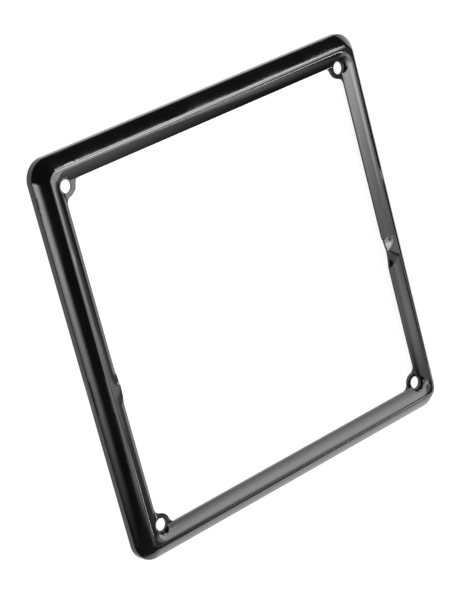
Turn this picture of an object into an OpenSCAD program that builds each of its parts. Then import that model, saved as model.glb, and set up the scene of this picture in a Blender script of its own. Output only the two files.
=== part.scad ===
// Pressed steel surround for a nearly square number plate.
// One sheet, drawn into a raised bead with a turned-down rim, then blanked to
// an open window with a drilled ear in each corner.
// The part lies on the back edge of its rim: z = 0 is that edge, +Z is the
// front, +Y is the top of the plate. "s" below is the distance outward from
// the lines through the fixing holes.

/* [Fixing holes] */

// Distance between the left and the right holes
hole_pitch_x = 150; // [110:1:220]
// Distance between the upper and the lower holes
hole_pitch_y = 145; // [110:1:220]
// Diameter of each fixing hole
hole_d = 5.3; // [4:0.1:6.5]

/* [Sheet and rim] */

// Thickness of the steel sheet
sheet = 1.0; // [0.6:0.1:1.2]
// Distance from the hole lines out to the outer face of the rim
rim_reach = 13.4; // [12:0.1:18]
// Depth from the front of the ears back to the edge of the rim
rim_depth = 5.8; // [4:0.1:9]
// Height of the straight part of the rim at its back edge
rim_wall = 2.3; // [1:0.1:3.5]
// Outer radius where the rim turns into the flank
shoulder_r = 1.3; // [1.3:0.1:2]
// Corner radius of the rim in plan
rim_corner_r = 9; // [7:0.5:12]

/* [Bead] */

// Rise of the bead above the front of the ears
bead_rise = 2.7; // [1.8:0.1:3.5]
// Outer radius over the crest of the bead
crest_r = 1.5; // [1.3:0.1:2.2]
// Width of the level strip along the crest
crest_land = 0.2; // [0.1:0.05:0.6]
// Slope of the inner wall of the bead, in degrees
wall_slope = 27; // [22:1:36]
// Half of the turn that the bowed flank makes, in degrees
flank_bow = 5; // [2:1:9]
// Inner radius where the wall meets the ears
foot_r = 0.8; // [0.4:0.1:1.4]
// Corner radius of the crest in plan, on the window side
crest_corner_r = 6.9; // [6:0.1:9]

/* [Ears] */

// Distance from the hole lines out to the edge of the window
edge_gap = 1.45; // [1:0.05:2.5]
// Radius of the ear around its hole
ear_r = 4.65; // [4:0.05:7]
// Radius of the level seat around each hole, where the wall is set back
seat_r = 3.05; // [2.8:0.05:3.6]
// Slope of the step around the seat, in degrees
seat_slope = 60; // [50:1:70]
// Fillet between an ear and the edge of the upper or lower rail
ear_fillet_x = 2.7; // [1:0.1:4]
// Fillet between an ear and the edge of a side rail
ear_fillet_y = 3.0; // [1:0.1:4]

/* [Side swellings] */

// Distance of the swelling's upper foot below the middle of the side rail
swell_drop = 5.5; // [0:0.1:20]
// Lift of the window edge on top of the swelling
swell_lift = 1.25; // [0.8:0.05:1.6]
// Length of the swelling from its upper to its lower foot
swell_length = 13.2; // [11:0.1:20]
// Slope of its long lower end, in degrees
swell_tail_slope = 15; // [10:1:25]
// Radius of the hollow that forms its upper end
swell_hollow_r = 11.3; // [9:0.1:15]

/* [Hidden] */

$fn = 64;

// Steps along each rounded stretch of the section
crest_steps = 8;
flank_steps = 6;
shoulder_steps = 4;
foot_steps = 3;
// Overrun of a cutting form past the surface it cuts
overrun = 1;

// Heights above the back edge
ear_front_z = rim_depth;
crest_z = rim_depth + bead_rise;

// Middle of the crest, from the slope of the wall that climbs to it
crest_s = edge_gap + bead_rise / tan(wall_slope) + crest_r * tan(wall_slope / 2) + crest_land / 2;
crest_in_s = crest_s - crest_land / 2;
crest_out_s = crest_s + crest_land / 2;

// The flank is one shallow arc that leaves the crest arc and enters the
// shoulder arc without a corner. Its mean slope follows from the two ends.
flank_run = rim_reach - crest_out_s;
flank_fall = crest_z - rim_wall;
flank_reach = [flank_run - shoulder_r, flank_fall - crest_r];
flank_slope = atan2(flank_reach.y, flank_reach.x)
    + asin((crest_r - shoulder_r) * cos(flank_bow) / norm(flank_reach));
flank_top = flank_slope - flank_bow;
flank_end = flank_slope + flank_bow;
flank_chord = (flank_run - crest_r * sin(flank_top) - shoulder_r * (1 - sin(flank_end)))
    / cos(flank_slope);
flank_r = flank_chord / (2 * sin(flank_bow));

// Centres of the plan corners, as distances outward from the hole lines
rim_corner_s = rim_reach - rim_corner_r;
crest_corner_s = crest_in_s - crest_corner_r;

// The swelling is set out in a frame that lies on the inner wall: u climbs
// the wall from the window edge, v runs up the rail, w stands on the wall.
// Its top is a level that touches the crest arc and passes through the lifted
// window edge.
wall_top_u = (bead_rise - crest_r * (1 - cos(wall_slope))) / sin(wall_slope);
swell_reach = [
    wall_top_u - swell_lift * sin(wall_slope),
    crest_r + swell_lift * cos(wall_slope)
];
swell_tilt = atan2(swell_reach.y, swell_reach.x) - asin(crest_r / norm(swell_reach));
swell_hollow_u = wall_top_u / 3;
swell_top_slope = 45;
swell_block = 2 * swell_length;

// Points on an arc, with its angle measured from the upward direction
function arc(centre, r, from, to, steps) = [
    for (i = [0 : steps])
    let (a = from + (to - from) * i / steps)
    [centre.x + r * sin(a), centre.y + r * cos(a)]
];

// Outside of the rim and flank, from the crest to the back edge, with every
// surface moved inward by "inset"; the first value is the distance s
function rim_section(inset) =
    let (
        crest_c = [crest_out_s, crest_z - crest_r],
        flank_c = crest_c - (flank_r - crest_r) * [sin(flank_top), cos(flank_top)],
        shoulder_c = [rim_reach - shoulder_r, rim_wall]
    )
    concat(
        arc(crest_c, crest_r - inset, 0, flank_top, crest_steps),
        arc(flank_c, flank_r - inset, flank_top, flank_end, flank_steps),
        arc(shoulder_c, shoulder_r - inset, flank_end, 90, shoulder_steps)
    );

// Front of the inner wall, from the level floor up to the crest, with every
// surface moved back by "inset"
function wall_section(inset) =
    let (
        foot_c = [edge_gap - foot_r * tan(wall_slope / 2), ear_front_z + foot_r],
        crest_c = [crest_in_s, crest_z - crest_r]
    )
    concat(
        arc(foot_c, foot_r + inset, 180, 180 - wall_slope, foot_steps),
        arc(crest_c, crest_r - inset, -wall_slope, 0, crest_steps)
    );

// Section points measured from the centre of a plan corner
function from_corner(points, corner_s) = [for (p = points) [p.x - corner_s, p.y]];

// Solid with a rounded rectangle in plan. The profile starts and ends on the
// axis of the corners, between the heights "low" and "high".
module rounded_solid(profile, corner_s, low, high) {
    half_x = hole_pitch_x / 2 + corner_s;
    half_y = hole_pitch_y / 2 + corner_s;
    outline = concat([[0, high]], profile, [[0, low]]);
    for (quarter = [0 : 3]) {
        along = quarter % 2 == 0 ? half_x : half_y;
        across = quarter % 2 == 0 ? half_y : half_x;
        rotate([0, 0, 90 * quarter]) {
            translate([along, across, 0])
                rotate_extrude(angle = 90)
                    polygon(outline);
            translate([along, -across, 0])
                rotate([90, 0, 180])
                    linear_extrude(2 * across)
                        polygon([for (p = outline) [-p.x, p.y]]);
        }
    }
    translate([-half_x, -half_y, low])
        cube([2 * half_x, 2 * half_y, high - low]);
}

// Everything inside the rim and flank, up to the level of the crest
module rim_form(inset, low) {
    section = from_corner(rim_section(inset), rim_corner_s);
    rounded_solid(concat(section, [[section[len(section) - 1].x, low]]),
        rim_corner_s, low, crest_z - inset);
}

// The hollow inside the bead, from the floor to above the crest
module wall_form(inset) {
    section = from_corner(wall_section(inset), crest_corner_s);
    profile = [for (i = [len(section) - 1 : -1 : 0]) section[i]];
    rounded_solid(concat([[crest_corner_r, crest_z + overrun]], profile),
        crest_corner_s, ear_front_z - inset, crest_z + overrun);
}

// Everything below a level plane through the origin, moved down by "inset"
module below(inset) {
    translate([-swell_block, -swell_block, -swell_block - inset])
        cube([2 * swell_block, 2 * swell_block, swell_block]);
}

// Swelling of one side rail, in the frame of the inner wall
module swell_form(inset) {
    difference() {
        intersection() {
            translate([wall_top_u, 0, -crest_r])
                rotate([0, swell_tilt, 0])
                    translate([0, 0, crest_r])
                        below(inset);
            translate([0, -swell_length, 0])
                rotate([swell_tail_slope, 0, 0])
                    below(inset);
            rotate([-swell_top_slope, 0, 0])
                below(inset);
        }
        translate([swell_hollow_u, 0, swell_hollow_r])
            sphere(r = swell_hollow_r + inset);
    }
}

// The hollow above the level seat of one hole
module seat_form(inset) {
    foot_r = seat_r + inset * tan(seat_slope / 2);
    rise = bead_rise + inset + overrun;
    translate([0, 0, ear_front_z - inset])
        cylinder(h = rise, r1 = foot_r, r2 = foot_r + rise / tan(seat_slope));
}

// The press form: the sheet's front at inset 0, its back at one sheet
module press_form(inset, low) {
    difference() {
        rim_form(inset, low);
        difference() {
            wall_form(inset);
            for (side = [0, 1])
                mirror([side, 0, 0])
                    translate([hole_pitch_x / 2 + edge_gap, -swell_drop, ear_front_z])
                        rotate([0, -wall_slope, 0])
                            swell_form(inset);
        }
        for (sx = [-1, 1])
            for (sy = [-1, 1])
                translate([sx * hole_pitch_x / 2, sy * hole_pitch_y / 2, 0])
                    seat_form(inset);
    }
}

// Web that fairs an ear into the edge that runs along +x
module ear_web(fillet_r) {
    centre_y = fillet_r - edge_gap;
    centre_x = sqrt(pow(ear_r + fillet_r, 2) - pow(centre_y, 2));
    difference() {
        polygon([[0, 0], [0, -edge_gap - overrun], [centre_x, -edge_gap - overrun], [centre_x, centre_y]]);
        translate([centre_x, centre_y])
            circle(fillet_r);
    }
}

// Outline of one ear, with its hole at the origin and the window towards +x +y
module ear_outline() {
    circle(ear_r);
    ear_web(ear_fillet_x);
    mirror([1, -1])
        ear_web(ear_fillet_y);
}

// Opening of the window, with the ears left standing in its corners
module window_outline() {
    difference() {
        square([hole_pitch_x + 2 * edge_gap, hole_pitch_y + 2 * edge_gap], center = true);
        for (sx = [0, 1])
            for (sy = [0, 1])
                mirror([sx, 0])
                    mirror([0, sy])
                        translate([-hole_pitch_x / 2, -hole_pitch_y / 2])
                            ear_outline();
    }
}

module plate_frame() {
    cut_z = ear_front_z - sheet - overrun;
    cut_height = crest_z + overrun - cut_z;
    color([0.07, 0.07, 0.075])
        difference() {
            press_form(0, 0);
            press_form(sheet, -overrun);
            translate([0, 0, cut_z])
                linear_extrude(cut_height)
                    window_outline();
            for (sx = [-1, 1])
                for (sy = [-1, 1])
                    translate([sx * hole_pitch_x / 2, sy * hole_pitch_y / 2, cut_z])
                        cylinder(h = cut_height, d = hole_d);
        }
}

plate_frame();
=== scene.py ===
"""Pressed steel surround for a number plate, gloss black, lying on a white studio floor.

The surround is one sheet with a raised bead, a turned-down rim, four drilled
ears and a swelling on each side rail. Lengths inside the mesh code are in
millimetres, in the same frame as the solids; the finished mesh is in metres.
"""

import logging
import math
from dataclasses import dataclass, field
from enum import Enum

import bmesh
import bpy
from mathutils import Matrix, Vector

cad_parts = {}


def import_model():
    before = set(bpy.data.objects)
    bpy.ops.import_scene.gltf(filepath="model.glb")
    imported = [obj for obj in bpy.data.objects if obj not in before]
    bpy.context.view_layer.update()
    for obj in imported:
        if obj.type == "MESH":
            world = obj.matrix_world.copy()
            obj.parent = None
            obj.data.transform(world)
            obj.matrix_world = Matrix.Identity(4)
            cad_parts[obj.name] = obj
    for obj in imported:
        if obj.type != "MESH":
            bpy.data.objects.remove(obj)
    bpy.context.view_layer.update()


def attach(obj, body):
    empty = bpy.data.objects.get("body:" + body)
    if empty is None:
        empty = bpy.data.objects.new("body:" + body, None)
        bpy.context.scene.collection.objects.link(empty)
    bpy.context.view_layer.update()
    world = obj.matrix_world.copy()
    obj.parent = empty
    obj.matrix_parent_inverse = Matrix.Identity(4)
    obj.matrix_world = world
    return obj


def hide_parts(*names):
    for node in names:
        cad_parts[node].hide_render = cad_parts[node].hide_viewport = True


logging.basicConfig(level=logging.INFO, format="%(levelname)s %(message)s")
log = logging.getLogger("surround")

MM = 0.001
WELD = 1e-3
BLANK_TILT = 0.5
CUT_ANGLE = math.radians(60)
Z_AXIS = Vector((0.0, 0.0, 1.0))


def arc_points(
    centre: tuple[float, float], radius: float, start: float, end: float, steps: int
) -> list[tuple[float, float]]:
    """Points on an arc of the section.

    Args:
        centre: Distance s and height z of the arc's centre, in mm.
        radius: Radius in mm.
        start: First angle from the upward direction, in degrees.
        end: Last angle, in degrees.
        steps: Number of steps between them.

    Returns:
        The points as (s, z), both ends included.
    """
    angles = [math.radians(start + (end - start) * i / steps) for i in range(steps + 1)]
    return [(centre[0] + radius * math.sin(a), centre[1] + radius * math.cos(a)) for a in angles]


def smooth_min(a: float, b: float, width: float) -> float:
    """Lower of two heights, with the edge between them rounded over "width"."""
    blend = max(0.0, 1.0 - abs(a - b) / width)
    return min(a, b) - blend * blend * width / 4.0


def smooth_max(a: float, b: float, width: float) -> float:
    """Higher of two heights, with the edge between them rounded over "width"."""
    return -smooth_min(-a, -b, width)


@dataclass(frozen=True)
class PressSection:
    """Section of the rails: distances s run outward from the hole lines, in mm."""

    sheet: float = 1.0
    rim_reach: float = 13.4
    rim_depth: float = 5.8
    rim_wall: float = 2.3
    shoulder_r: float = 1.3
    bead_rise: float = 2.7
    crest_r: float = 1.5
    crest_land: float = 0.2
    wall_slope: float = 27.0
    wall_bow: float = 13.0
    flank_bow: float = 5.0
    foot_r: float = 0.8
    edge_gap: float = 1.45
    crest_steps: int = 12
    flank_steps: int = 8
    shoulder_steps: int = 7
    foot_steps: int = 5
    wall_steps: int = 20

    @property
    def slope(self) -> float:
        """Slope of the inner wall in radians."""
        return math.radians(self.wall_slope)

    @property
    def crest_z(self) -> float:
        """Height of the crest."""
        return self.rim_depth + self.bead_rise

    @property
    def crest_s(self) -> float:
        """Distance of the middle of the crest."""
        climb = self.bead_rise / math.tan(self.slope)
        return self.edge_gap + climb + self.crest_r * math.tan(self.slope / 2) + self.crest_land / 2

    @property
    def foot_s(self) -> float:
        """Distance at which the level ear turns up into the wall."""
        return self.edge_gap - self.foot_r * math.tan(self.slope / 2)

    def floor_z(self, s: float) -> float:
        """Height of the front at a distance between the ear and the window edge."""
        run = max(0.0, s - self.foot_s)
        return self.rim_depth + self.foot_r - math.sqrt(self.foot_r**2 - run**2)

    def wall_z(self, s: float) -> float:
        """Height of the front at a distance between the ear and the crest."""
        if s <= self.edge_gap:
            return self.floor_z(s)
        points = self.wall_points()
        (s0, z0), (s1, z1) = next(pair for pair in zip(points, points[1:]) if pair[1][0] >= s)
        return z0 + (z1 - z0) * (s - s0) / (s1 - s0)

    def wall_points(self) -> list[tuple[float, float]]:
        """Front of the inner wall, from the window edge up to the crest.

        Returns:
            The points as (s, z).
        """
        edge_turn = math.degrees(math.asin((self.edge_gap - self.foot_s) / self.foot_r))
        foot_c = (self.foot_s, self.rim_depth + self.foot_r)
        crest_c = (self.crest_s - self.crest_land / 2, self.crest_z - self.crest_r)
        steep, flat = self.wall_slope + self.wall_bow, self.wall_slope - self.wall_bow
        foot = arc_points(foot_c, self.foot_r, 180 - edge_turn, 180 - steep, self.foot_steps)
        steps = round(self.crest_steps * flat / self.wall_slope)
        crest = arc_points(crest_c, self.crest_r, -flat, 0, steps)
        (s0, z0), (s1, z1) = foot[-1], crest[0]
        bulge = (s1 - s0) * math.radians(self.wall_bow)
        shares = [i / self.wall_steps for i in range(1, self.wall_steps)]
        wall = [(s0 + (s1 - s0) * k, z0 + (z1 - z0) * k + bulge * k * (1 - k)) for k in shares]
        return foot + wall + crest

    def flank_points(self) -> list[tuple[float, float]]:
        """Outside of the bead, from the crest over the shoulder to the back edge.

        Returns:
            The points as (s, z).
        """
        crest_c = Vector((self.crest_s + self.crest_land / 2, self.crest_z - self.crest_r))
        run = self.rim_reach - crest_c.x
        reach = Vector((run - self.shoulder_r, self.crest_z - self.rim_wall - self.crest_r))
        bow = math.radians(self.flank_bow)
        turn = math.asin((self.crest_r - self.shoulder_r) * math.cos(bow) / reach.length)
        slope = math.atan2(reach.y, reach.x) + turn
        top, end = slope - bow, slope + bow
        rest = run - self.crest_r * math.sin(top) - self.shoulder_r * (1 - math.sin(end))
        flank_r = rest / math.cos(slope) / (2 * math.sin(bow))
        flank_c = crest_c - (flank_r - self.crest_r) * Vector((math.sin(top), math.cos(top)))
        shoulder_c = (self.rim_reach - self.shoulder_r, self.rim_wall)
        top, end = math.degrees(top), math.degrees(end)
        crest = arc_points(tuple(crest_c), self.crest_r, 0, top, self.crest_steps)
        flank = arc_points(tuple(flank_c), flank_r, top, end, self.flank_steps)
        shoulder = arc_points(shoulder_c, self.shoulder_r, end, 90, self.shoulder_steps)
        return crest + flank[1:] + shoulder[1:] + [(self.rim_reach, 0.0)]


@dataclass(frozen=True)
class SideSwelling:
    """Swelling pressed into the inner wall of a side rail, sizes in mm and degrees."""

    drop: float = 5.5
    lift: float = 1.25
    length: float = 13.2
    tail_slope: float = 15.0
    hollow_r: tuple[float, float] = (10.5, 20.0)
    hollow_u: float = 3.5
    edge_round: float = 0.22
    tail_round: float = 1.5
    station: float = 0.2
    margin: float = 0.8

    def stations(self) -> list[float]:
        """Heights y at which the side rails get a row of points."""
        low, high = -self.drop - self.length - self.margin, -self.drop + self.margin
        count = round((high - low) / self.station)
        return [low + (high - low) * i / count for i in range(count + 1)]

    def press(self, bm: bmesh.types.BMesh, section: PressSection, half_x: float) -> None:
        """Lifts the points of both side walls to the swelling's surface.

        Args:
            bm: Mesh of the front of the sheet.
            section: Section of the rails.
            half_x: Distance from the middle to the hole line of a side rail.
        """
        slope = section.slope
        along = Vector((math.cos(slope), math.sin(slope)))
        stand = Vector((-math.sin(slope), math.cos(slope)))
        origin = Vector((section.edge_gap, section.rim_depth))
        wall_top = (section.bead_rise - section.crest_r * (1 - math.cos(slope))) / math.sin(slope)
        rise = section.crest_r + self.lift * math.cos(slope)
        away = wall_top - self.lift * math.sin(slope)
        turn = math.atan2(rise, away) - math.asin(section.crest_r / math.hypot(rise, away))
        slab_top = section.crest_r * (1 / math.cos(turn) - 1)
        slab_end = wall_top + section.crest_r * math.sin(turn)
        tail = math.tan(math.radians(self.tail_slope))
        low, high = -self.drop - self.length - self.margin, -self.drop + self.margin
        across, down = (2 * r for r in self.hollow_r)
        reach = section.crest_s
        for vert in bm.verts:
            s = abs(vert.co.x) - half_x
            if not (low <= vert.co.y <= high and section.edge_gap - WELD <= s < reach):
                continue
            place = Vector((s, vert.co.z)) - origin
            v = vert.co.y + self.drop
            if place.dot(along) > slab_end:
                continue
            own = place.dot(stand)
            bulge = max(0.0, own)
            for _ in range(6):
                u, w = place.dot(along), place.dot(stand)
                slab = (wall_top - u) * math.tan(turn) + slab_top
                hollow = (u - self.hollow_u) ** 2 / across + v**2 / down
                shape = smooth_min(slab, bulge + hollow, self.edge_round)
                shape = smooth_min(shape, bulge - v, self.edge_round)
                shape = smooth_min(shape, bulge + (v + self.length) * tail, self.tail_round)
                fade = min(1.0, max(0.01, (wall_top - u) / wall_top))
                target = smooth_max(own, shape, self.edge_round * fade)
                place.y += (target - w) / math.cos(slope)
            vert.co.z = place.y + origin.y


@dataclass(frozen=True)
class CornerEar:
    """Ear around a fixing hole, with fillets into the window edges, sizes in mm."""

    ear_r: float = 4.65
    hole_d: float = 5.3
    seat_r: float = 3.05
    seat_slope: float = 60.0
    seat_round: float = 0.4
    seat_rings: tuple[float, ...] = (2.65, 2.82, 2.98, 3.06, 3.14, 3.23, 3.33, 3.44, 3.56, 3.7, 3.85, 4.0)
    clear_r: float = 4.15
    fillet_x: float = 2.7
    fillet_y: float = 3.0
    fillet_steps: int = 9
    tail_steps: int = 4
    ear_steps: int = 22
    hole_steps: int = 80

    def fillet_centre(self, fillet_r: float, gap: float) -> tuple[float, float]:
        """Centre of a fillet from the hole: along the edge, then across it."""
        across = fillet_r - gap
        return math.sqrt((self.ear_r + fillet_r) ** 2 - across**2), across

    def turn_at(self, fillet_r: float, gap: float, s: float) -> float:
        """Angle on a fillet, from its end on the window edge to the distance s."""
        return math.acos((fillet_r - gap + s) / fillet_r)

    def tail(self, fillet_r: float, section: PressSection) -> list[tuple[float, float]]:
        """Points of the fillet that lie on the foot of the wall.

        Args:
            fillet_r: Radius of the fillet.
            section: Section of the rails.

        Returns:
            Pairs of the place along the edge, from the hole, and the distance s.
        """
        along, across = self.fillet_centre(fillet_r, section.edge_gap)
        last = self.turn_at(fillet_r, section.edge_gap, section.foot_s)
        turns = [last * i / self.tail_steps for i in range(self.tail_steps + 1)]
        return [(along - fillet_r * math.sin(a), fillet_r * math.cos(a) - across) for a in turns]

    def open_seat(self, bm: bmesh.types.BMesh, hole: Vector) -> None:
        """Removes the faces that the hole and its seat take the place of."""
        inside = [
            f for f in bm.faces
            if min((v.co - hole).to_2d().length for v in f.verts) < self.clear_r
        ]
        bmesh.ops.delete(bm, geom=inside, context="FACES")

    def add_seat(
        self, bm: bmesh.types.BMesh, hole: Vector, section: PressSection, corner_s: float
    ) -> None:
        """Adds the rings of a level seat for the screw, pressed into the wall.

        Args:
            bm: Mesh of one quarter of the front of the sheet.
            hole: Centre of the hole at the front of the ear.
            section: Section of the rails.
            corner_s: Distance of the wall's corner centre outward from the hole lines.
        """
        climb = math.tan(math.radians(self.seat_slope))
        made: list[bmesh.types.BMEdge] = []
        for radius in self.seat_rings:
            spot = Matrix.Translation(hole)
            ring = bmesh.ops.create_circle(bm, segments=self.hole_steps, radius=radius, matrix=spot)["verts"]
            for vert in ring:
                x, y = vert.co.x - hole.x - corner_s, vert.co.y - hole.y - corner_s
                s = corner_s + (math.hypot(x, y) if min(x, y) > 0 else max(x, y))
                seat = hole.z + max(0.0, radius - self.seat_r) * climb
                vert.co.z = max(hole.z, smooth_min(section.wall_z(s), seat, self.seat_round))
            edges = list({e for v in ring for e in v.link_edges})
            if made:
                bmesh.ops.bridge_loops(bm, edges=made + edges)
            made = edges


@dataclass
class PlateSurround:
    """The pressed surround as one closed skin of sheet metal."""

    half_x: float = 75.0
    half_y: float = 72.5
    rim_corner_r: float = 9.0
    crest_corner_r: float = 6.9
    corner_steps: int = 26
    ear_station: float = 0.3
    ear_rows: int = 18
    edge_round: float = 0.08
    section: PressSection = field(default_factory=PressSection)
    swelling: SideSwelling = field(default_factory=SideSwelling)
    ear: CornerEar = field(default_factory=CornerEar)

    @property
    def crest_corner_s(self) -> float:
        """Distance of the wall's corner centre outward from the hole lines."""
        return self.section.crest_s - self.section.crest_land / 2 - self.crest_corner_r

    @property
    def rim_corner_s(self) -> float:
        """Distance of the rim's corner centre outward from the hole lines."""
        return self.section.rim_reach - self.rim_corner_r

    def sweep(
        self, bm: bmesh.types.BMesh, points: list[tuple[float, float]], corner_s: float
    ) -> list[bmesh.types.BMVert]:
        """Spins a run of the section round one corner and draws out its two rails.

        Args:
            bm: Mesh that gets the faces.
            points: Section points as (s, z).
            corner_s: Distance of the corner's centre outward from the hole lines.

        Returns:
            The new points of the mesh.
        """
        before = set(bm.verts)
        cx, cy = self.half_x + corner_s, self.half_y + corner_s
        verts = [bm.verts.new((self.half_x + s, cy, z)) for s, z in points]
        edges = [bm.edges.new(pair) for pair in zip(verts, verts[1:])]
        spun = bmesh.ops.spin(
            bm, geom=verts + edges, cent=(cx, cy, 0), axis=Z_AXIS,
            angle=math.pi / 2, steps=self.corner_steps,
        )
        last = [e for e in spun["geom_last"] if isinstance(e, bmesh.types.BMEdge)]
        for run, travel in ((edges, (0, -cy, 0)), (last, (-cx, 0, 0))):
            drawn = bmesh.ops.extrude_edge_only(bm, edges=run)["geom"]
            moved = [v for v in drawn if isinstance(v, bmesh.types.BMVert)]
            bmesh.ops.translate(bm, verts=moved, vec=travel)
        return [v for v in bm.verts if v not in before]

    def cut_rows(self, bm: bmesh.types.BMesh, places: list[float], axis: int) -> None:
        """Cuts the rails across at the given places along an axis."""
        normal = Vector([1.0 if i == axis else 0.0 for i in range(3)])
        for place in places:
            geom = bm.verts[:] + bm.edges[:] + bm.faces[:]
            bmesh.ops.bisect_plane(bm, geom=geom, dist=WELD, plane_co=normal * place, plane_no=normal)

    def close_crest(self, bm: bmesh.types.BMesh) -> None:
        """Bridges the level strip along the crest between the wall and the flank."""
        top = self.section.crest_z - WELD / 2
        rims = [e for e in bm.edges if e.is_boundary and min(v.co.z for v in e.verts) > top]
        bmesh.ops.bridge_loops(bm, edges=rims)

    def spin_point(
        self, bm: bmesh.types.BMesh, vert: bmesh.types.BMVert, centre: Vector, angle: float, steps: int
    ) -> bmesh.types.BMVert:
        """Draws an arc of edges by spinning one point about an upright axis.

        Args:
            bm: Mesh that gets the edges.
            vert: Point to start from.
            centre: Centre of the arc.
            angle: Turn in radians, positive from +x to +y.
            steps: Number of edges.

        Returns:
            The last point of the arc.
        """
        spun = bmesh.ops.spin(bm, geom=[vert], cent=centre, axis=Z_AXIS, angle=angle, steps=steps)
        return next(v for v in spun["geom_last"] if isinstance(v, bmesh.types.BMVert))

    def add_ear(self, bm: bmesh.types.BMesh) -> None:
        """Adds the ear of the +x +y corner inside the foot of the wall.

        Args:
            bm: Mesh of one quarter of the front of the sheet.
        """
        sec, ear = self.section, self.ear
        hole = Vector((self.half_x, self.half_y, sec.rim_depth))
        tails = {0: ear.tail(ear.fillet_x, sec), 1: ear.tail(ear.fillet_y, sec)}
        centre = Vector((1.0, 1.0, 0.0)) * self.crest_corner_s + hole

        def place(co: Vector) -> tuple[int, float]:
            """Axis that the rail under a point runs along, and its place from the hole."""
            axis = 0 if abs(co.y - hole.y - sec.edge_gap) < abs(co.x - hole.x - sec.edge_gap) else 1
            return axis, hole[axis] - co[axis]

        def in_ear(edge: bmesh.types.BMEdge) -> bool:
            """True for an edge of the window that the ear grows from."""
            middle = (edge.verts[0].co + edge.verts[1].co) / 2
            low = max(v.co.z for v in edge.verts) < sec.floor_z(sec.edge_gap) + WELD
            axis, along = place(middle)
            inside = middle.x < self.half_x + sec.rim_reach / 2 and middle.y < self.half_y + sec.rim_reach / 2
            return edge.is_boundary and low and inside and along < tails[axis][0][0]

        grown = bmesh.ops.extrude_edge_only(bm, edges=[e for e in bm.edges if in_ear(e)])["geom"]
        inner = [v for v in grown if isinstance(v, bmesh.types.BMVert)]
        for vert in inner:
            axis, along = place(vert.co)
            other = 1 - axis
            near = min(tails[axis], key=lambda pair: abs(pair[0] - along))
            if vert.co.x > centre.x and vert.co.y > centre.y:
                out = (vert.co - centre).to_2d().normalized() * (sec.foot_s - self.crest_corner_s)
                vert.co.x, vert.co.y, s = centre.x + out.x, centre.y + out.y, sec.foot_s
            else:
                s = near[1] if abs(near[0] - along) < WELD * 10 else sec.foot_s
                vert.co[other] = hole[other] + s
            vert.co.z = sec.floor_z(s)

        bmesh.ops.remove_doubles(bm, verts=bm.verts[:], dist=WELD)
        ear.open_seat(bm, hole)
        self.draw_outline(bm, hole, tails)
        ear.add_seat(bm, hole, sec, self.crest_corner_s)
        bmesh.ops.remove_doubles(bm, verts=bm.verts[:], dist=WELD)
        seat_end = max(ear.seat_rings)

        def round_seat(edge: bmesh.types.BMEdge) -> bool:
            """True for an open edge on either side of the gap around the seat."""
            reach = [(v.co - hole).to_2d().length for v in edge.verts]
            level = max(abs(v.co.z - hole.z) for v in edge.verts) < WELD
            near = max(reach) < ear.clear_r + 3 * self.ear_station
            outside = min(reach) > seat_end - WELD and (near or (level and max(reach) < 3 * ear.ear_r))
            return (edge.is_boundary or edge.is_wire) and outside

        bmesh.ops.bridge_loops(bm, edges=[e for e in bm.edges if round_seat(e)])

    def draw_outline(
        self, bm: bmesh.types.BMesh, hole: Vector, tails: dict[int, list[tuple[float, float]]]
    ) -> None:
        """Draws the free outline of an ear: fillet, ear arc, fillet.

        Args:
            bm: Mesh that gets the edges.
            hole: Centre of the hole at the front of the ear.
            tails: Tail points of the two fillets, by the axis of their edge.
        """
        sec, ear = self.section, self.ear
        along_x, across_x = ear.fillet_centre(ear.fillet_x, sec.edge_gap)
        along_y, across_y = ear.fillet_centre(ear.fillet_y, sec.edge_gap)
        first_c = hole - Vector((along_x, across_x, 0))
        last_c = hole - Vector((across_y, along_y, 0))
        turn_x = math.acos(across_x / (ear.ear_r + ear.fillet_x))
        turn_y = math.acos(across_y / (ear.ear_r + ear.fillet_y))
        start_x = ear.turn_at(ear.fillet_x, sec.edge_gap, sec.foot_s)
        start_y = ear.turn_at(ear.fillet_y, sec.edge_gap, sec.foot_s)
        along, s = tails[0][-1]
        vert = bm.verts.new(hole + Vector((-along, s, 0)))
        vert = self.spin_point(bm, vert, first_c, -(turn_x - start_x), ear.fillet_steps)
        sweep = math.atan2(along_y, across_y) - math.atan2(across_x, along_x)
        vert = self.spin_point(bm, vert, hole, sweep, ear.ear_steps)
        self.spin_point(bm, vert, last_c, -(turn_y - start_y), ear.fillet_steps)

    def front(self) -> bmesh.types.BMesh:
        """Builds the front of the sheet: one quarter, mirrored twice, then swelled.

        Returns:
            The open front surface, in mm.
        """
        bm = bmesh.new()
        self.sweep(bm, self.section.wall_points(), self.crest_corner_s)
        self.sweep(bm, self.section.flank_points(), self.rim_corner_s)
        for axis, fillet in ((0, self.ear.fillet_x), (1, self.ear.fillet_y)):
            hole_at = (self.half_x, self.half_y)[axis]
            tail = [hole_at - along for along, _ in self.ear.tail(fillet, self.section)]
            steps = [hole_at - self.ear_station * i for i in range(self.ear_rows)]
            rail = [hole_at * k for k in (0.2, 0.4, 0.6, 0.8)]
            self.cut_rows(bm, sorted(tail + steps + rail), axis)
        self.close_crest(bm)
        self.add_ear(bm)
        bmesh.ops.remove_doubles(bm, verts=bm.verts[:], dist=WELD)
        for axis in ("X", "Y"):
            geom = bm.verts[:] + bm.edges[:] + bm.faces[:]
            bmesh.ops.mirror(bm, geom=geom, matrix=Matrix.Identity(4), merge_dist=WELD, axis=axis)
        bmesh.ops.remove_doubles(bm, verts=bm.verts[:], dist=WELD)
        bmesh.ops.recalc_face_normals(bm, faces=bm.faces[:])
        self.cut_rows(bm, self.swelling.stations(), 1)
        self.swelling.press(bm, self.section, self.half_x)
        if sum(f.normal.z for f in bm.faces) < 0:
            bmesh.ops.reverse_faces(bm, faces=bm.faces[:])
        return bm

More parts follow.
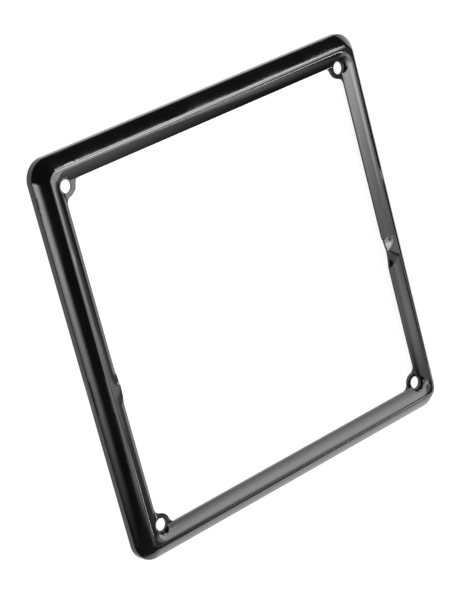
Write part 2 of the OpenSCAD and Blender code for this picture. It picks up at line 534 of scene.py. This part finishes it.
    def thicken(self, bm: bmesh.types.BMesh) -> None:
        """Gives the front its sheet thickness, blanks the window upright and rounds cut edges.

        Args:
            bm: Front surface, in mm, changed in place.
        """
        sec = self.section
        bmesh.ops.solidify(bm, geom=bm.faces[:], thickness=sec.sheet)
        bm.normal_update()
        for edge in bm.edges:
            upright = all(abs(f.normal.z) < BLANK_TILT for f in edge.link_faces)
            low, high = sorted(edge.verts, key=lambda v: v.co.z)
            s = min(abs(high.co.x) - self.half_x, abs(high.co.y) - self.half_y)
            inner = max(abs(high.co.x) - self.half_x, abs(high.co.y) - self.half_y) < sec.edge_gap + WELD
            if upright and inner and high.co.z - low.co.z > sec.sheet / 2 and s < sec.edge_gap:
                low.co.x, low.co.y = high.co.x, high.co.y
        bm.normal_update()
        cut = [e for e in bm.edges if e.calc_face_angle(0.0) > CUT_ANGLE]
        bmesh.ops.bevel(
            bm, geom=cut, offset=self.edge_round, offset_type="OFFSET", segments=2,
            profile=0.5, affect="EDGES", clamp_overlap=True, material=-1,
        )

    def build(self, finish: "GlossPaint") -> bpy.types.Object:
        """Builds the finished surround.

        Args:
            finish: Paint of the whole piece.

        Returns:
            The object, in metres, placed by its mesh.
        """
        bm = self.front()
        log.info("front of the sheet: %d points, %d faces", len(bm.verts), len(bm.faces))
        self.thicken(bm)
        bmesh.ops.scale(bm, verts=bm.verts[:], vec=(MM, MM, MM))
        for face in bm.faces:
            face.smooth = True
        mesh = bpy.data.meshes.new("pressed_surround")
        bm.to_mesh(mesh)
        bm.free()
        mesh.materials.append(finish.material())
        piece = bpy.data.objects.new("pressed_surround", mesh)
        bpy.context.collection.objects.link(piece)
        shading = piece.modifiers.new("even_shading", "WEIGHTED_NORMAL")
        shading.mode = "FACE_AREA"
        shading.weight = 60
        return piece


class Nodes:
    """Short hand for building a node material."""

    def __init__(self, name: str) -> None:
        """Makes an empty node material of that name."""
        self.material = bpy.data.materials.new(name)
        self.material.use_nodes = True
        self.tree = self.material.node_tree
        self.tree.nodes.clear()

    def add(self, kind: str, **values: object) -> bpy.types.Node:
        """Adds a node.

        Args:
            kind: Node type.
            values: Node settings by name, or input values by "in_" and the socket name.

        Returns:
            The node.
        """
        node = self.tree.nodes.new(kind)
        for key, value in values.items():
            if key.startswith("in_"):
                node.inputs[key[3:].replace("_", " ")].default_value = value
            else:
                setattr(node, key, value)
        return node

    def link(self, source: bpy.types.NodeSocket, target: bpy.types.NodeSocket) -> None:
        """Connects two sockets."""
        self.tree.links.new(source, target)


@dataclass(frozen=True)
class GlossPaint:
    """Gloss black enamel on pressed sheet, with orange peel and pressing waves."""

    colour: tuple[float, float, float] = (0.002, 0.002, 0.0022)
    roughness: tuple[float, float] = (0.05, 0.11)
    peel_scale: float = 900.0
    peel_depth: float = 3.0e-6
    wave_scale: float = 130.0
    wave_depth: float = 12e-6

    def material(self) -> bpy.types.Material:
        """Makes the paint as a node material."""
        n = Nodes("gloss_black_paint")
        out = n.add("ShaderNodeOutputMaterial")
        paint = n.add("ShaderNodeBsdfPrincipled", in_IOR=1.5, in_Metallic=0.0)
        n.link(paint.outputs["BSDF"], out.inputs["Surface"])
        place = n.add("ShaderNodeTexCoord")

        haze = n.add("ShaderNodeTexNoise", in_Scale=60.0, in_Detail=4.0, in_Roughness=0.6)
        n.link(place.outputs["Object"], haze.inputs["Vector"])
        gloss = n.add("ShaderNodeMapRange", in_From_Min=0.35, in_From_Max=0.7)
        gloss.inputs["To Min"].default_value, gloss.inputs["To Max"].default_value = self.roughness
        n.link(haze.outputs["Fac"], gloss.inputs["Value"])
        n.link(gloss.outputs["Result"], paint.inputs["Roughness"])

        tint = n.add("ShaderNodeMix", data_type="RGBA")
        tint.inputs["A"].default_value = (*(c * 0.85 for c in self.colour), 1.0)
        tint.inputs["B"].default_value = (*(c * 1.25 for c in self.colour), 1.0)
        n.link(haze.outputs["Fac"], tint.inputs["Factor"])
        n.link(tint.outputs["Result"], paint.inputs["Base Color"])

        wave = n.add("ShaderNodeTexNoise", in_Scale=self.wave_scale, in_Detail=1.0)
        n.link(place.outputs["Object"], wave.inputs["Vector"])
        waved = n.add("ShaderNodeBump", in_Distance=self.wave_depth, in_Strength=1.0)
        n.link(wave.outputs["Fac"], waved.inputs["Height"])
        peel = n.add("ShaderNodeTexNoise", in_Scale=self.peel_scale, in_Detail=2.0)
        n.link(place.outputs["Object"], peel.inputs["Vector"])
        peeled = n.add("ShaderNodeBump", in_Distance=self.peel_depth, in_Strength=1.0)
        n.link(peel.outputs["Fac"], peeled.inputs["Height"])
        n.link(waved.outputs["Normal"], peeled.inputs["Normal"])
        n.link(peeled.outputs["Normal"], paint.inputs["Normal"])
        return n.material


@dataclass(frozen=True)
class FloorFinish:
    """Plain white floor that keeps the object's shadow."""

    colour: tuple[float, float, float] = (0.14, 0.14, 0.14)
    glow: float = 0.92

    def material(self) -> bpy.types.Material:
        """Makes the floor as a node material."""
        n = Nodes("white_floor")
        out = n.add("ShaderNodeOutputMaterial")
        base = n.add("ShaderNodeBsdfDiffuse")
        base.inputs["Color"].default_value = (*self.colour, 1.0)
        path = n.add("ShaderNodeLightPath")
        direct = n.add("ShaderNodeMath", operation="MAXIMUM")
        n.link(path.outputs["Is Camera Ray"], direct.inputs[0])
        n.link(path.outputs["Is Glossy Ray"], direct.inputs[1])
        seen = n.add("ShaderNodeMath", operation="MAXIMUM")
        n.link(direct.outputs["Value"], seen.inputs[0])
        n.link(path.outputs["Is Transmission Ray"], seen.inputs[1])
        lift = n.add("ShaderNodeMath", operation="MULTIPLY")
        n.link(seen.outputs["Value"], lift.inputs[0])
        lift.inputs[1].default_value = self.glow
        glow = n.add("ShaderNodeEmission")
        n.link(lift.outputs["Value"], glow.inputs["Strength"])
        both = n.add("ShaderNodeAddShader")
        n.link(base.outputs["BSDF"], both.inputs[0])
        n.link(glow.outputs["Emission"], both.inputs[1])
        n.link(both.outputs["Shader"], out.inputs["Surface"])
        return n.material


@dataclass(frozen=True)
class SoftPanel:
    """Soft light panel in metres; its glow fades out over a share of each half side."""

    centre: tuple[float, float, float]
    facing: tuple[float, float, float]
    level: tuple[float, float, float]
    width: float
    height: float
    radiance: float
    fade: tuple[float, float]

    def place(self) -> Matrix:
        """Matrix that hangs the panel: its light leaves along the facing direction."""
        back = -Vector(self.facing).normalized()
        side = (Vector(self.level) - back * back.dot(Vector(self.level))).normalized()
        turn = Matrix((side, back.cross(side), back)).transposed()
        return Matrix.Translation(self.centre) @ turn.to_4x4()

    def glow(self, tree: bpy.types.NodeTree) -> None:
        """Builds the panel's glow, which fades out towards its edges.

        Args:
            tree: Node tree of the light.
        """
        lamp = next(n for n in tree.nodes if n.type == "EMISSION")
        face = tree.nodes.new("ShaderNodeNewGeometry")
        split = tree.nodes.new("ShaderNodeSeparateXYZ")
        tree.links.new(face.outputs["Parametric"], split.inputs["Vector"])
        both = tree.nodes.new("ShaderNodeMath")
        both.operation = "MULTIPLY"
        for i, share in enumerate(self.fade):
            off = tree.nodes.new("ShaderNodeMath")
            off.operation = "SUBTRACT"
            tree.links.new(split.outputs[i], off.inputs[0])
            off.inputs[1].default_value = 0.5
            away = tree.nodes.new("ShaderNodeMath")
            away.operation = "ABSOLUTE"
            tree.links.new(off.outputs["Value"], away.inputs[0])
            fall = tree.nodes.new("ShaderNodeMapRange")
            fall.interpolation_type = "SMOOTHSTEP"
            tree.links.new(away.outputs["Value"], fall.inputs["Value"])
            fall.inputs["From Min"].default_value = 0.5 * (1 - share)
            fall.inputs["From Max"].default_value = 0.5
            fall.inputs["To Min"].default_value = 1.0
            fall.inputs["To Max"].default_value = 0.0
            tree.links.new(fall.outputs["Result"], both.inputs[i])
        tree.links.new(both.outputs["Value"], lamp.inputs["Strength"])


class Panel(Enum):
    """The panels of the studio."""

    RIGHT = SoftPanel(
        (0.275, -0.037, 0.162), (-0.143, -0.966, -0.214), (-0.986, 0.121, 0.112),
        0.765, 0.337, 5.85, (0.49, 0.92),
    )
    REAR_RIGHT_HIGH = SoftPanel(
        (0.406, 0.339, 0.571), (-0.365, 0.869, -0.333), (-0.653, 0.016, 0.757),
        0.452, 1.785, 28.34, (1.00, 1.00),
    )
    LEFT_LOW = SoftPanel(
        (-1.989, -0.285, 0.836), (0.840, 0.312, 0.444), (-0.315, 0.947, -0.068),
        1.165, 0.673, 8.60, (1.00, 1.00),
    )
    FRONT_LEFT = SoftPanel(
        (-0.791, -1.044, 0.909), (-0.253, 0.159, -0.954), (0.946, -0.165, -0.278),
        0.846, 0.378, 2.34, (0.40, 0.43),
    )
    REAR_RIGHT_LOW = SoftPanel(
        (1.047, 1.407, 0.667), (-0.174, 0.205, -0.963), (0.766, -0.586, -0.263),
        0.630, 1.569, 14.41, (0.49, 0.17),
    )
    REAR_RIGHT = SoftPanel(
        (0.452, 0.697, 0.477), (-0.523, 0.717, -0.461), (-0.269, -0.653, -0.708),
        1.613, 0.191, 9.01, (0.23, 1.00),
    )
    FRONT_RIGHT = SoftPanel(
        (1.485, -0.961, 1.348), (0.224, -0.325, -0.919), (-0.416, -0.884, 0.212),
        0.562, 0.754, 32.33, (0.30, 0.40),
    )
    OVERHEAD = SoftPanel(
        (-0.041, -0.082, 0.432), (0.792, -0.018, -0.610), (0.125, 0.983, 0.134),
        0.281, 0.693, 1.99, (0.29, 0.03),
    )
    OVERHEAD_2 = SoftPanel(
        (-0.227, 0.452, 1.436), (0.268, -0.394, -0.879), (0.924, 0.363, 0.119),
        0.476, 0.241, 1.66, (0.27, 0.72),
    )
    REAR_LEFT_HIGH = SoftPanel(
        (-0.722, 0.587, 1.139), (0.783, 0.014, -0.622), (0.013, 0.999, 0.038),
        0.297, 0.368, 0.61, (0.96, 0.40),
    )
    REAR = SoftPanel(
        (0.104, 1.042, 0.655), (0.133, -0.802, -0.582), (0.968, -0.022, 0.252),
        0.348, 0.315, 0.48, (0.46, 0.81),
    )
    RIGHT_HIGH = SoftPanel(
        (0.173, -0.093, 0.285), (-0.753, 0.617, -0.229), (-0.610, -0.785, -0.106),
        0.069, 0.503, 2.88, (0.38, 1.00),
    )
    FRONT_RIGHT_HIGH = SoftPanel(
        (0.958, -0.858, 1.290), (-0.427, -0.341, -0.837), (0.865, 0.116, -0.489),
        0.330, 0.708, 2.37, (1.00, 0.10),
    )
    OVERHEAD_3 = SoftPanel(
        (0.044, -0.484, 1.046), (-0.272, 0.355, -0.894), (-0.179, -0.932, -0.316),
        0.315, 1.049, 1.28, (0.38, 0.39),
    )
    OVERHEAD_4 = SoftPanel(
        (-0.056, -0.061, 1.515), (-0.530, -0.168, -0.831), (0.327, -0.945, -0.018),
        0.699, 0.355, 4.66, (0.36, 0.18),
    )

@dataclass(frozen=True)
class Studio:
    """White floor, soft panels and the camera of the photograph."""

    eye: tuple[float, float, float] = (-0.57589, 0.26471, 0.75379)
    right: tuple[float, float, float] = (0.73001, -0.24684, 0.63730)
    up: tuple[float, float, float] = (0.36183, 0.93068, -0.05399)
    back: tuple[float, float, float] = (-0.57979, 0.27001, 0.76872)
    lens: float = 143.575
    floor_size: float = 8.0
    floor_drop: float = 0.00002
    world_level: float = 0.04

    def add_camera(self) -> None:
        """Places the camera at the photograph's viewing angle."""
        data = bpy.data.cameras.new("photo_camera")
        data.lens, data.sensor_width = self.lens, 36.0
        data.clip_start, data.clip_end = 0.01, 50.0
        camera = bpy.data.objects.new("photo_camera", data)
        bpy.context.collection.objects.link(camera)
        turn = Matrix((self.right, self.up, self.back)).transposed()
        camera.matrix_world = Matrix.Translation(self.eye) @ turn.to_4x4()
        bpy.context.scene.camera = camera

    def add_floor(self, finish: FloorFinish) -> None:
        """Lays the floor under the back edge of the rim."""
        bm = bmesh.new()
        bmesh.ops.create_grid(bm, x_segments=1, y_segments=1, size=self.floor_size / 2)
        bmesh.ops.translate(bm, verts=bm.verts[:], vec=(0, 0, -self.floor_drop))
        mesh = bpy.data.meshes.new("floor")
        bm.to_mesh(mesh)
        bm.free()
        mesh.materials.append(finish.material())
        floor = bpy.data.objects.new("floor", mesh)
        bpy.context.collection.objects.link(floor)

    def add_panels(self) -> None:
        """Hangs the soft panels."""
        for panel in Panel:
            soft = panel.value
            data = bpy.data.lights.new(panel.name.lower(), "AREA")
            data.shape, data.size, data.size_y = "RECTANGLE", soft.width, soft.height
            data.energy = soft.radiance * math.pi * soft.width * soft.height
            data.use_nodes = True
            soft.glow(data.node_tree)
            lamp = bpy.data.objects.new(panel.name.lower(), data)
            bpy.context.collection.objects.link(lamp)
            lamp.matrix_world = soft.place()
            lamp.visible_camera = False

    def add_world(self) -> None:
        """Sets the dim room around the panels."""
        world = bpy.data.worlds.new("room")
        world.use_nodes = True
        room = world.node_tree.nodes["Background"]
        room.inputs["Color"].default_value = (1.0, 1.0, 1.0, 1.0)
        room.inputs["Strength"].default_value = self.world_level
        bpy.context.scene.world = world

    def build(self) -> None:
        """Sets the whole studio."""
        bpy.context.scene.view_settings.view_transform = "Standard"
        self.add_camera()
        self.add_floor(FloorFinish())
        self.add_panels()
        self.add_world()


def main() -> None:
    """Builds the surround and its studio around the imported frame."""
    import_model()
    Studio().build()
    surround = PlateSurround().build(GlossPaint())
    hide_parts("plate_frame")
    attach(surround, "root")
    log.info("pressed_surround: %d faces", len(surround.data.polygons))


if __name__ == "__main__":
    main()
